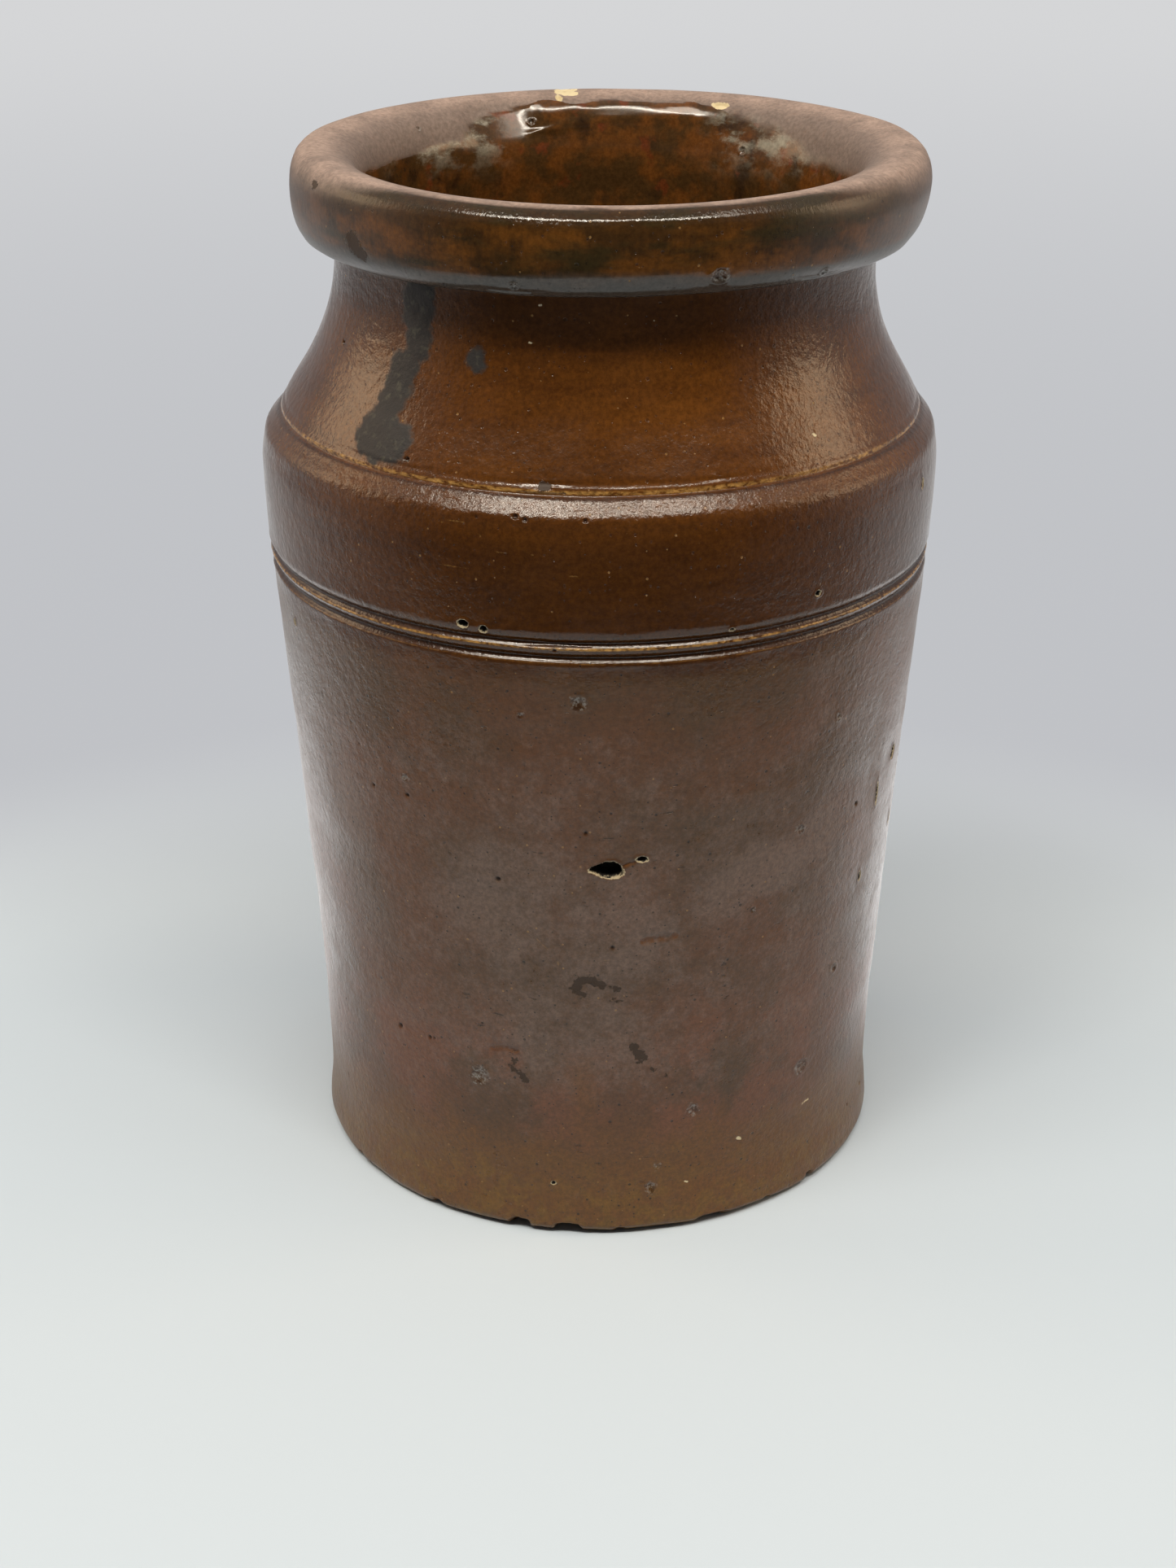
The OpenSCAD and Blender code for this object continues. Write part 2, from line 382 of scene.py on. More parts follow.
def cell_levels(rows):
    """How many times each cell is halved."""
    middle_s = (rows[:-1] + rows[1:]) / 2
    half_h = (rows[1:] - rows[:-1]) / 2
    middle_a = (np.arange(COLUMNS) + 0.5) * 360 / COLUMNS
    radius = np.maximum(outline.at(middle_s)[0], 5)
    half_w = radius * math.pi / COLUMNS
    levels = np.zeros((len(middle_s), COLUMNS), int)
    for azimuth, s, reach_w, reach_h, level in marked_places():
        up = np.maximum(abs(middle_s - s) - half_h, 0)[:, None] / reach_h
        across = np.radians(abs(arc_gap(middle_a, azimuth)))[None, :] * radius[:, None]
        across = np.maximum(across - half_w[:, None], 0) / reach_w
        levels = np.where(np.hypot(up, across) < 1, np.maximum(levels, level), levels)
    for _ in range(FINEST):
        grown = levels.copy()
        for shift, axis in ((1, 0), (-1, 0), (1, 1), (-1, 1)):
            moved = np.roll(levels, shift, axis)
            if axis == 0:
                moved[0 if shift == 1 else -1] = 0
            grown = np.maximum(grown, moved - 1)
        levels = grown
    return levels


def crock_grid():
    """Azimuth and outline place of every vertex, and the faces between them."""
    rows = row_places()
    levels = cell_levels(rows)
    tall, wide = (len(rows) - 1) * SPLIT + 1, COLUMNS * SPLIT
    used = np.zeros((tall, wide), bool)
    cells = []
    for level in range(FINEST + 1):
        step = SPLIT >> level
        i, j = np.nonzero(levels == level)
        for di, dj in product(range(1 << level), repeat=2):
            top, left = i * SPLIT + di * step, j * SPLIT + dj * step
            cells.append(np.stack([top, left, np.full(len(i), step)], axis=1))
            for a, b in product((0, step), repeat=2):
                used[top + a, (left + b) % wide] = True
    number = np.cumsum(used).reshape(used.shape) - 1
    faces = []
    for top, left, step in np.concatenate(cells):
        right, bottom, steps = left + step, top + step, range(step)
        around = [(top, left + k) for k in steps] + [(top + k, right) for k in steps]
        around += [(bottom, right - k) for k in steps] + [(bottom - k, left) for k in steps]
        loop = [(a, b % wide) for a, b in around if used[a, b % wide]]
        faces.append([int(number[a, b]) for a, b in reversed(loop)])
    faces.append(number[0][used[0]].tolist())
    faces.append(number[-1][used[-1]].tolist()[::-1])
    i, j = np.nonzero(used)
    s = np.interp(i / SPLIT, np.arange(len(rows)), rows)
    return Skin(j * 360 / wide, s), faces


# -------- the crock's surface

# Arrises of the cuts and the step: height, width and how worn; then the grooves: height and width
ARRISES = [
    (HIGH_ARRIS_Z, 0.55, 1.0), (LOW_ARRIS_Z, 0.55, 0.62), (GROOVE_TOP_Z, 0.35, 0.35),
    (STEP_Z + 0.75, 0.7, 1.0), (STEP_Z + 2.2, 0.4, 0.5),
]
GROOVES = [(LOW_ARRIS_Z + 0.9, 0.7), (HIGH_ARRIS_Z + 0.9, 0.7), (STEP_Z - 0.2, 0.35)]

# Distance between the faint ridges that the thrower's fingers left on top of the roll, and their height
RIDGE_GAP, RIDGE_RISE = 1.6, 0.032

# The kinds of mark, the half width above which a blow-hole is a slit, and a scratch's half width
MARKS = ("hole", "pit", "ring", "smudge", "amber", "run", "cream", "scratch")
WIDE_HOLE = 2
SCRATCH_W = 0.25

# How far the rolled rim and neck lean to the right: height and millimetres
LEAN = [(0, 0), (150, 0), (175, 0.5), (190, 1.0), (204, 1.95), (TOP, 1.95)]

# Where the glossy glaze begins inside the mouth: azimuth and height
GLAZE_EDGE = [
    (-180, 208.4), (-166, 208.2), (-158, 208.6), (-148, 207.6), (-141, 203.4), (-118, 202),
    (-90, 203.5), (-50, 206), (0, 207), (55, 206), (90, 203), (118, 201.5), (140, 206.6),
    (150, 207.6), (160, 208.2), (180, 208.4),
]

# Lower edge of the glaze that pooled under the lip at the back: azimuth past the back and height
POOL_EDGE = [(-26, 206.2), (-20, 205.7), (0, 204.8), (12, 203.8), (20, 202.6), (26, 202.2)]


def straightened(skin, start, end):
    """Move along the normal that makes the outline straight between two places."""
    (r0, z0), (r1, z1) = (outline.at(x)[:2] for x in (start, end))
    away = (r0 - skin.r) * (z1 - z0) - (z0 - skin.z) * (r1 - r0)
    across = skin.nr * (z1 - z0) - skin.nz * (r1 - r0)
    return np.where((skin.s > start) & (skin.s < end), away / np.where(abs(across) < 1e-3, 1, across), 0)


def shape_skin(skin):
    """Final points of the crock, and the masks that its material reads."""
    a, s, z, p = skin.azimuth, skin.s, skin.z, skin.points
    outer = 1 - ease(s, CREST - 1, CREST + 1)
    wall = outer * ease(s, OUT(0) - 2, OUT(1.5))
    front = abs(arc_gap(a, 0))

    # Throwing rings, slow waves and the hand's small dents
    rings = noise(p * [0.05, 0.05, 1], 5.0, 21) + 0.6 * noise(p * [0.08, 0.08, 1], 2.4, 22)
    waves = 0.22 * noise(p, 34, 23) + 0.12 * noise(p, 14, 24) + 0.035 * noise(p, 5, 25)
    belly = wall * (1 - ease(z, LOW_ARRIS_Z - 6, LOW_ARRIS_Z))
    out = wall * (0.05 * rings + waves) + belly * 0.04 * rings
    out += (1 - outer) * (0.12 * rings + 0.1 * noise(p, 12, 26)) * ease(TOP - z, 6, 20)
    tooth = noise(p * [1, 1, 0.12], 1.5, 27)
    on_neck = wall * bump(z, 184, 7)
    out += on_neck * 0.05 * tooth * (0.4 + ease(front, 45, 65))

    # The two cuts and the step wander a little, and their arrises are worn unevenly
    edge, groove, chipped, bloom = np.zeros((4, len(s)))
    uneven = noise(p, 9, 31)
    fine = noise(p, 2.0, 32)
    for arris_z, width, strength in ARRISES:
        line = outer * bump(s, OUT(arris_z), width)
        edge = np.maximum(edge, strength * line)
        out += 0.1 * line * uneven + 0.06 * line * fine
    for low_z, width in GROOVES:
        line = outer * bump(s, OUT(low_z), width)
        groove = np.maximum(groove, line)
        out += 0.12 * line * uneven

    # The shoulder turns over more sharply just below the step
    out += outer * (0.34 * bump(s, OUT(155.8), 1.5) - 0.07 * bump(s, OUT(158.3), 0.9))

    # The roll: fuller low on its sides, with its faint ridges above
    roll = outer * ease(s, OUT(ROLL_LOW_Z - 0.5), OUT(ROLL_LOW_Z + 1))
    out += 0.5 * outer * bump(s, OUT(ROLL_LOW_Z + 0.6), 1.1) * ease(front, 30, 75)
    out += 0.12 * roll * noise(p * [1, 1, 2], 10, 33)
    ridge_gap = s - OUT(TOP - 1.9)
    out += RIDGE_RISE * outer * np.cos(2 * math.pi * ridge_gap / RIDGE_GAP) * bump(ridge_gap, 0, 1.5)

    # Glaze gathered inside the mouth, with a ragged upper edge and a thick pool at the back
    glaze_line = IN(np.interp(arc_gap(a, 0), *np.array(GLAZE_EDGE).T)) + 0.9 * noise(p, 3, 34)
    glaze_line += 0.3 * skin.wobble
    glazed = s - glaze_line
    behind = arc_gap(a, 180)
    pool_line = IN(np.interp(behind, *np.array(POOL_EDGE).T)) + 0.25 * noise(p, 4, 35)
    past_lip = (s > CREST) * (1 - ease(abs(behind + 1), 19, 24))
    pool = past_lip * ease(glazed, -0.1, 0.5) * (1 - ease(s, pool_line - 0.3, pool_line + 0.5))
    down = np.clip(glazed / np.maximum(pool_line - glaze_line, 0.5), 0, 1)
    at_back = ease(front, 120, 140)
    out += 0.28 * at_back * ease(glazed, -0.1, 0.5) * (s > CREST) * (1 - ease(s, IN(196), IN(190)))
    out += (0.6 - 0.5 * down) * pool + 0.34 * past_lip * bump(s, pool_line, 0.8)
    out += straightened(skin, IN(209.1), IN(201)) * (1 - ease(abs(behind - 27), 7, 12))

    # Marks: for each kind, a field of millimetres inside the mark's edge
    fields = {name: np.full(len(s), -3.0) for name in MARKS}

    def stamp(name, inside):
        fields[name] = np.maximum(fields[name], inside)
        return inside

    for azimuth, height, w, h, depth in BLOWHOLES:
        inside = skin.oval(azimuth, OUT(height), w, h, 0.18)
        if w > WIDE_HOLE:
            across, along = skin.local(azimuth, OUT(height))
            narrow = h * np.clip(0.95 + 0.35 * across / w, 0.4, 1.2)
            inside = (1 - np.hypot(across / w, along / narrow) + 0.2 * skin.wobble) * h
        out -= depth * ease(stamp("hole", inside), -0.05, 0.45)
        out += 0.12 * bump(inside, -0.2, 0.22)
    for azimuth, height, radius in PITS:
        inside = stamp("pit", skin.oval(azimuth, OUT(height), radius, radius, 0.15))
        out -= 0.9 * radius * ease(inside, -0.05, 0.3)
    for place, craters in ((OUT, CRATERS), (IN, INNER_CRATERS)):
        for azimuth, height, radius, depth in craters:
            inside = stamp("ring", skin.oval(azimuth, place(height), radius, radius, 0.2))
            out -= depth * ease(inside, 0, 0.6 * radius)
            out += 0.5 * depth * bump(inside, -0.15 * radius, 0.25 * radius)
    for places, w in SMUDGES:
        out -= 0.1 * ease(stamp("smudge", skin.path(places, w, 0.5)), -0.1, 0.5)
    for places, w in AMBER:
        out -= 0.35 * ease(stamp("amber", skin.path(places, w, 0.4)), -0.1, 0.7 * w)
    for places, w in RUNS:
        out += 0.12 * ease(stamp("run", skin.path(places, w, 0.25)), -0.3, 0.8)
    for places, w in CREAM:
        out -= 0.15 * ease(stamp("cream", skin.path(places, w, 0.6)), 0, 0.3)
    for places in SCRATCHES:
        out -= 0.04 * ease(stamp("scratch", skin.path(places, SCRATCH_W, 0.6)), -0.2, 0.15)

    # The foot's edge, worn at the front and chipped all round
    worn = 0.5 + 0.6 * bump(front, 0, 35) + 0.35 * noise(p, 5, 36)
    rise = outer * bump(s, OUT(0.6), 2.0) * worn
    for azimuth, w, up, depth in FOOT_CHIPS:
        across, along = skin.local(azimuth, OUT(0.4))
        inside = 1 - np.hypot(across / w, np.maximum(along, along * -0.5) / up) + 0.3 * skin.wobble
        chip = ease(inside, 0, 0.25) * (s > OUT(0) - 4)
        chipped = np.maximum(chipped, chip)
        out -= depth * chip * (1 + 0.4 * noise(p, 1.2, 37))
        rise += 0.5 * depth * chip
    for azimuth, past, w, h, depth in RIM_CHIPS:
        inside = stamp("cream", skin.oval(azimuth, CREST + past, w, h, 0.4))
        out -= depth * ease(inside, -0.05, 0.5) * (1 + 0.35 * noise(p, 1.0, 38))

    # The underside of the roll is lifted at the front and the top of the rim is lower there, the
    # underside of the foot is uneven, and the neck and rim lean
    lift = 0.8 * bump(front, 0, 55) * outer * bump(s, OUT(ROLL_LOW_Z + 0.5), 2.6)
    sunk = 0.7 * bump(front, 0, 55) * ease(z, TOP - 5, TOP - 1)
    height = np.maximum(z + out * skin.nz + lift + rise - sunk, 0)
    height = np.where(s < OUT(0) - 3, np.minimum(height, 0.25 * noise(p, 6, 39) ** 2), height)
    points = turned(a, skin.r + out * skin.nr, height)
    points[:, 0] += np.interp(z, *np.array(LEAN).T)

    for azimuth, middle, w, h, strength in BLOOM:
        across, along = skin.local(azimuth, OUT(middle))
        bloom = np.maximum(bloom, strength * ease(1.35 - np.hypot(across / w, along / h), 0, 0.9))
    bloom *= outer * (z < LOW_ARRIS_Z)

    crown_out = OUT(TOP - 0.25 - 3.6 * ease(front, 35, 85)) + 0.4 * noise(p, 6, 40)
    fade = 0.35 + 4.0 * ease(front, 25, 75)
    side_fade = 0.35 + 1.6 * ease(arc_gap(a, 0), 60, 100) * (arc_gap(a, 0) < 150)
    crown = ease(s, crown_out - fade, crown_out + fade) * (1 - ease(glazed, -side_fade, side_fade))
    # Painted reflection: the band under the roll where a grey reflection of the floor is painted
    under = roll * (1 - ease(z + 1.1 * noise(p, 17, 41), ROLL_LOW_Z + 3.2, ROLL_LOW_Z + 4.0))
    masks = dict(
        fields, edge=edge, groove=groove, bloom=bloom, crown=crown, chip=chipped, roll=roll,
        inner=1 - outer, under=under,
        flare=ease(s, CREST + 2.5, CREST + 8),
        frost=(s > CREST) * bump(s, IN(204), 5) * ease(front, 105, 128) * (1 - ease(front, 148, 158)),
        stain=outer * bump(skin.local(-3, 0)[0], 0, 2.6) * ease(z, 20, 26) * (1 - ease(z, 40, 46)),
    )
    return points, masks


def new_object(name, data):
    thing = bpy.data.objects.new(name, data)
    bpy.context.scene.collection.objects.link(thing)
    return thing


def new_mesh(name, points, faces, masks=None):
    mesh = bpy.data.meshes.new(name)
    mesh.from_pydata((points * MM).tolist(), [], faces)
    for key, values in (masks or {}).items():
        layer = mesh.attributes.new(key, "FLOAT", "POINT")
        layer.data.foreach_set("value", np.asarray(values, dtype=np.float32))
    mesh.polygons.foreach_set("use_smooth", [True] * len(mesh.polygons))
    mesh.update()
    return new_object(name, mesh)


# -------- the half-round weights

CORNER_R = 3.0
EDGE_R = 2.5
BORDER_POINTS = {"outer": 90, "corner": 9, "side": 26, "inner": 30}
DEEPEST_INSET = 15.2


def half_moon(outer_r, finger_r, gap, inset):
    """Border of a half ring in plan, inset evenly; its straight sides face -X."""
    big, small, side = outer_r - inset, finger_r + inset, gap + inset
    corner = max(CORNER_R - inset, 0.15)
    far_y = math.sqrt((big - corner) ** 2 - (side + corner) ** 2)
    near_y = math.sqrt((small + corner) ** 2 - (side + corner) ** 2)
    far_a = math.atan2(far_y, side + corner)
    near_a = math.atan2(near_y, side + corner)

    def arc(cx, cy, radius, start, end, count):
        t = np.linspace(start, end, count, endpoint=False)
        return np.stack([cx + radius * np.cos(t), cy + radius * np.sin(t)], axis=1)

    n = BORDER_POINTS
    straight = np.linspace(far_y, near_y, n["side"], endpoint=False)
    upper = [
        arc(side + corner, far_y, corner, far_a, math.pi, n["corner"]),
        np.stack([np.full(n["side"], side), straight], axis=1),
        arc(side + corner, near_y, corner, math.pi, math.pi + near_a, n["corner"]),
    ]
    back = [part[::-1] * [1, -1] for part in reversed(upper)]
    return np.concatenate(
        [
            arc(0, 0, big, -far_a, far_a, n["outer"]),
            *upper,
            arc(0, 0, small, near_a, -near_a, n["inner"]),
            *back,
        ]
    )


def weight_mesh(name, node, side, seed):
    lo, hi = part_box(node)
    low, high = lo.z / MM, hi.z / MM
    outer_r = hi.y / MM
    plan = np.array([(v.co.x, v.co.y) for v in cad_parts[node].data.vertices]) / MM
    finger_r = np.hypot(*plan.T).min()
    gap = abs(lo.x if side > 0 else hi.x) / MM
    thick = high - low
    flat = np.linspace(DEEPEST_INSET, EDGE_R, 11)[:-1]
    turn = np.linspace(0, math.pi / 2, 7)
    inset = np.r_[flat, EDGE_R * (1 - np.sin(turn))]
    risen = np.r_[0 * flat, EDGE_R * (1 - np.cos(turn))]
    straight = np.linspace(EDGE_R, thick - EDGE_R, 9)[1:-1]
    insets = np.r_[inset, 0 * straight, inset[::-1]]
    heights = np.r_[risen, straight, thick - risen[::-1]]
    rings = [half_moon(outer_r, finger_r, gap, inset) for inset in insets]
    count = len(rings[0])
    points = np.concatenate(
        [np.c_[ring[:, 0] * side, ring[:, 1], np.full(count, low + h)] for ring, h in zip(rings, heights)]
    )
    faces = []
    for k in range(len(rings) - 1):
        for i in range(count):
            j = (i + 1) % count
            face = [k * count + i, k * count + j, (k + 1) * count + j, (k + 1) * count + i]
            faces.append(face if side > 0 else face[::-1])
    first, last = list(range(count)), [(len(rings) - 1) * count + i for i in range(count)]
    faces += [first[::-1], last] if side > 0 else [first, last[::-1]]
    piece = new_mesh(name, points, faces)
    normals = np.zeros(len(points) * 3)
    piece.data.vertices.foreach_get("normal", normals)
    soft = 0.22 * noise(points, 15, seed) + 0.1 * noise(points, 5, seed + 1)
    soft += 0.04 * noise(points, 1.7, seed + 2)
    inward = -0.15 - 0.35 * ease(rough_noise(points, 3.2, seed + 3), 0.42, 0.75)
    points = points + normals.reshape(-1, 3) * (0.55 * soft - 0.1 + inward * 0.6)[:, None]
    points[:, 2] = np.maximum(points[:, 2], low)
    piece.data.vertices.foreach_set("co", (points * MM).ravel())
    piece.data.update()
    return piece


# -------- materials

class Shader:
    """Short names for the shader nodes that the materials use."""

    def __init__(self, name):
        self.material = bpy.data.materials.new(name)
        self.material.use_nodes = True
        self.tree = self.material.node_tree
        self.surface = self.tree.nodes["Principled BSDF"]
        place = self.new("TexCoord").outputs["Object"]
        self.place = self.vector("SCALE", place, 1 / MM)

    def new(self, kind):
        return self.tree.nodes.new("ShaderNode" + kind)

    def link(self, value, socket):
        if isinstance(value, bpy.types.NodeSocket):
            self.tree.links.new(value, socket)
        elif isinstance(value, tuple) and len(value) == 3 and len(socket.default_value) == 4:
            socket.default_value = (*value, 1)
        else:
            socket.default_value = value

    def vector(self, operation, a, b):
        node = self.new("VectorMath")
        node.operation = operation
        self.link(a, node.inputs[0])
        self.link(b, node.inputs[3 if operation == "SCALE" else 1])
        return node.outputs[0]

    def math(self, operation, a, b=0.0, clamp=False):
        node = self.new("Math")
        node.operation, node.use_clamp = operation, clamp
        self.link(a, node.inputs[0])
        self.link(b, node.inputs[1])
        return node.outputs[0]

    def rise(self, value, low, high, start=0.0, end=1.0):
        """A smooth rise from start to end while the value goes from low to high."""
        node = self.new("MapRange")
        node.interpolation_type = "SMOOTHSTEP"
        for k, x in enumerate((value, low, high, start, end)):
            self.link(x, node.inputs[k])
        return node.outputs[0]

    def noise(self, size, detail=3.0, stretch=(1, 1, 1), roughness=0.55, offset=0.0):
        node = self.new("TexNoise")
        place = self.vector("MULTIPLY", self.place, stretch)
        place = self.vector("ADD", place, (offset, offset, offset))
        self.link(place, node.inputs["Vector"])
        node.inputs["Scale"].default_value = 1 / size
        node.inputs["Detail"].default_value = detail
        node.inputs["Roughness"].default_value = roughness
        return node.outputs[0]

    def spots(self, size, radius, share, offset=0.0):
        """Round specks, one in some of the cells of a random pattern."""
        node = self.new("TexVoronoi")
        self.link(self.vector("ADD", self.place, (offset, offset, offset)), node.inputs["Vector"])
        node.inputs["Scale"].default_value = 1 / size
        parts = self.new("SeparateColor")
        self.link(node.outputs["Color"], parts.inputs[0])
        reach = self.plus(self.times(self.rise(parts.outputs[0], 1 - share, 1.0), radius / size), 1e-4)
        return self.rise(self.math("DIVIDE", node.outputs["Distance"], reach), 1.15, 0.85)

    def mask(self, name):
        node = self.new("Attribute")
        node.attribute_name = name
        return node.outputs["Fac"]

    def mix(self, factor, a, b):
        node = self.new("Mix")
        node.data_type = "RGBA"
        for socket, value in ((0, factor), (6, a), (7, b)):
            self.link(value, node.inputs[socket])
        return node.outputs[2]

    def coat(self, color, *amount):
        """Lay a colour over the body by the product of the amounts."""
        self.body = self.mix(self.times(*amount), self.body, color)

    def blend(self, factor, a, b):
        node = self.new("Mix")
        for socket, value in ((0, factor), (2, a), (3, b)):
            self.link(value, node.inputs[socket])
        return node.outputs[0]

    def times(self, *values):
        return reduce(lambda a, b: self.math("MULTIPLY", a, b), values)

    def plus(self, *values):
        return reduce(lambda a, b: self.math("ADD", a, b), values)

    def most(self, a, b):
        return self.math("MAXIMUM", a, b)

    def rest(self, value, clamp=False):
        return self.math("SUBTRACT", 1.0, value, clamp)

    def swing(self, value, reach):
        """A value from 0 to 1, moved to lie evenly about 0 and scaled."""
        return self.times(self.math("SUBTRACT", value, 0.5), reach)

    def axis(self, index):
        parts = self.new("SeparateXYZ")
        self.link(self.place, parts.inputs[0])
        return parts.outputs[index]

    def side(self):
        """Millimetres from the middle towards either side."""
        return self.math("ABSOLUTE", self.axis(0))

    def length(self, vector):
        node = self.new("VectorMath")
        node.operation = "LENGTH"
        self.link(vector, node.inputs[0])
        return node.outputs["Value"]

    def emission(self, color, strength=1.0):
        node = self.new("Emission")
        self.link(color, node.inputs["Color"])
        self.link(strength, node.inputs["Strength"])
        return node.outputs[0]

    def show(self, shader, over=None, factor=1.0):
        """Make a shader the surface, laid by factor over another one if that is given."""
        if over:
            node = self.new("MixShader")
            for socket, value in zip(node.inputs, (factor, over, shader)):
                self.link(value, socket)
            shader = node.outputs[0]
        self.link(shader, self.tree.nodes["Material Output"].inputs["Surface"])

    def relief(self, height_mm):
        node = self.new("Bump")
        node.inputs["Strength"].default_value = 1
        node.inputs["Distance"].default_value = MM
        self.link(height_mm, node.inputs["Height"])
        self.link(node.outputs[0], self.surface.inputs["Normal"])


# Colours of the glaze and clay, and of painted sheen, reflection and shade, linear
GLAZE_DEEP = (0.045, 0.014, 0.003)
GLAZE_BROWN = (0.09, 0.03, 0.0045)
GLAZE_WARM = (0.12, 0.041, 0.0065)
BELLY = (0.066, 0.029, 0.007)
BELLY_RED = (0.092, 0.034, 0.009)
FOOT = (0.112, 0.043, 0.004)
OLIVE = (0.024, 0.018, 0.006)
ORANGE = (0.17, 0.055, 0.007)
ROLL_ORANGE = (0.1, 0.037, 0.006)
ROLL_DARK = (0.034, 0.016, 0.0045)
# Painted sheen for the roll's sides, then a painted grey reflection of the floor for its underside
SIDE_SHEEN_MAUVE = (0.088, 0.054, 0.034)
FLOOR_REFLECTION_GREY = (0.05, 0.046, 0.04)
RED = (0.15, 0.034, 0.01)
INNER_BROWN = (0.06, 0.029, 0.009)
INNER_ORANGE = (0.125, 0.044, 0.009)
INNER_DARK = (0.026, 0.013, 0.006)
GOLD = (0.42, 0.23, 0.065)
GROOVE_DARK = (0.022, 0.008, 0.003)
BLOOM_GREY = (0.146, 0.098, 0.076)
BLUE_GREY = (0.012, 0.012, 0.012)
GREY_GREEN = (0.06, 0.055, 0.036)
MATT_PINK = (0.345, 0.248, 0.202)
MATT_MAUVE = (0.165, 0.121, 0.1)
CREAM_CLAY = (0.64, 0.54, 0.34)
CLAY_GREY = (0.06, 0.052, 0.042)
PALE_GREY = (0.2, 0.19, 0.17)
SMUDGE_BROWN = (0.03, 0.013, 0.003)
CLAY_RED = (0.13, 0.046, 0.018)
OCHRE = (0.128, 0.058, 0.004)
FROST = (0.33, 0.315, 0.25)
BLACK = (0.006, 0.004, 0.003)


def glaze_material():
    m = Shader("glazed stoneware")
    z = m.axis(2)
    within, roll, crown = m.mask("inner"), m.mask("roll"), m.mask("crown")
    outside = m.rest(within)
    cloud = m.noise(26, 4)
    patch = m.noise(9, 5, offset=31)
    grain = m.noise(1.3, 4, offset=57)
    fine = m.noise(0.45, 3, offset=73)
    brushed = m.noise(3.0, 4, (0.16, 0.16, 1), offset=11)

    # Brown glaze above the cuts, warmer where it is thin, with painted shade on the band below the step
    # and on the neck under the roll
    upper = m.mix(m.rise(cloud, 0.3, 0.7), GLAZE_BROWN, GLAZE_WARM)
    upper = m.mix(m.rise(brushed, 0.35, 0.75, 0, 0.45), upper, GLAZE_DEEP)
    upper = m.mix(m.rise(grain, 0.5, 0.8, 0, 0.3), upper, ORANGE)
    # Painted shade: darker on the band below the step and on the neck in the roll's shadow
    shade = m.times(m.rise(z, 149, 160, 0.58, 0.84), m.rise(z, 176, 191, 1.0, 0.7))
    upper = m.vector("SCALE", upper, shade)

    # Duller, redder belly, and the foot in bare orange-brown
    lower = m.mix(m.rise(cloud, 0.38, 0.66), BELLY, BELLY_RED)
    lower = m.mix(m.rise(brushed, 0.48, 0.8, 0, 0.4), lower, GLAZE_BROWN)
    drift = m.plus(z, m.swing(patch, 26))
    blotches = m.rise(m.noise(15, 5, roughness=0.65, offset=15), 0.44, 0.6)
    reddish = m.times(blotches, m.rise(drift, 62, 40), 0.75)
    lower = m.mix(reddish, lower, CLAY_RED)
    lower = m.mix(m.rise(drift, 30, 16), lower, FOOT)
    low = m.times(m.rise(drift, 22, 5), m.rise(m.noise(3.5, 5, roughness=0.65, offset=25), 0.42, 0.6))
    lower = m.mix(low, lower, OCHRE)
    m.body = m.mix(m.rise(m.plus(z, m.swing(patch, 8)), 124, 128), lower, upper)

    # Lavender-grey bloom, thin over most of the belly and thicker in patches
    mist = m.noise(8, 9, roughness=0.78, offset=91)
    thin = m.times(m.rise(z, 124, 100), m.rise(z, 20, 44), m.rise(m.side(), 66, 20, 0.6, 1.0))
    dust = m.noise(2.2, 8, roughness=0.8, offset=51)
    bloom = m.plus(m.times(m.mask("bloom"), 0.75), m.times(thin, 0.42))
    bloom = m.plus(bloom, m.swing(mist, 2.3), m.swing(dust, 1.8))
    bloom = m.times(m.rise(bloom, 0.1, 1.1), m.rise(z, 128, 122), outside)
    m.coat(BLOOM_GREY, bloom, 0.7)
    m.coat(FOOT, m.mask("stain"), m.rise(patch, 0.3, 0.6), 0.7)

    # The roll: orange and dark olive in streaks that follow the turning, with a painted sheen on its left
    # and right sides and a painted grey reflection of the floor along its underside
    streak = m.noise(6.5, 4, (0.3, 0.3, 1.3), offset=17)
    mottle = m.noise(5.0, 4, (0.55, 0.55, 1), offset=23)
    dragged = m.noise(1.1, 3, (1, 1, 0.16), offset=29)
    mottle = m.plus(mottle, m.swing(dragged, 0.25))
    zone = m.plus(z, m.swing(m.noise(14, 3, offset=37), 9))
    orange = m.times(m.rise(mottle, 0.36, 0.64), m.rise(zone, 206, 203, 0.15, 1))
    rolled = m.mix(orange, ROLL_DARK, ROLL_ORANGE)
    rolled = m.mix(m.rise(streak, 0.46, 0.62, 0, 0.85), rolled, OLIVE)
    # Painted sheen: mauve-grey on the roll's left and right sides
    painted_side_sheen = m.times(m.rise(m.side(), 45, 58), m.rise(streak, 0.3, 0.55, 0.25, 0.7))
    rolled = m.mix(painted_side_sheen, rolled, SIDE_SHEEN_MAUVE)
    # Painted reflection of the floor along the roll's underside
    rolled = m.mix(m.times(m.mask("under"), 0.8), rolled, FLOOR_REFLECTION_GREY)
    m.coat(rolled, roll, 0.95)

    # The inside: glossy brown with orange, red and dark mottles
    blots = m.noise(7.5, 4, (1, 1, 0.8), offset=41)
    inner = m.mix(m.rise(m.noise(8, 5, roughness=0.6, offset=43), 0.42, 0.62), INNER_BROWN, INNER_ORANGE)
    inner = m.mix(m.rise(blots, 0.56, 0.68, 0, 0.8), inner, INNER_DARK)
    inner = m.mix(m.rise(m.noise(5, 3, offset=47), 0.6, 0.7, 0, 0.7), inner, RED)
    frost = m.times(m.mask("frost"), m.rise(m.noise(6, 6, (0.7, 0.7, 1.3), 0.65, offset=53), 0.44, 0.62))
    inner = m.mix(m.times(frost, 0.8), inner, FROST)
    m.coat(inner, within)

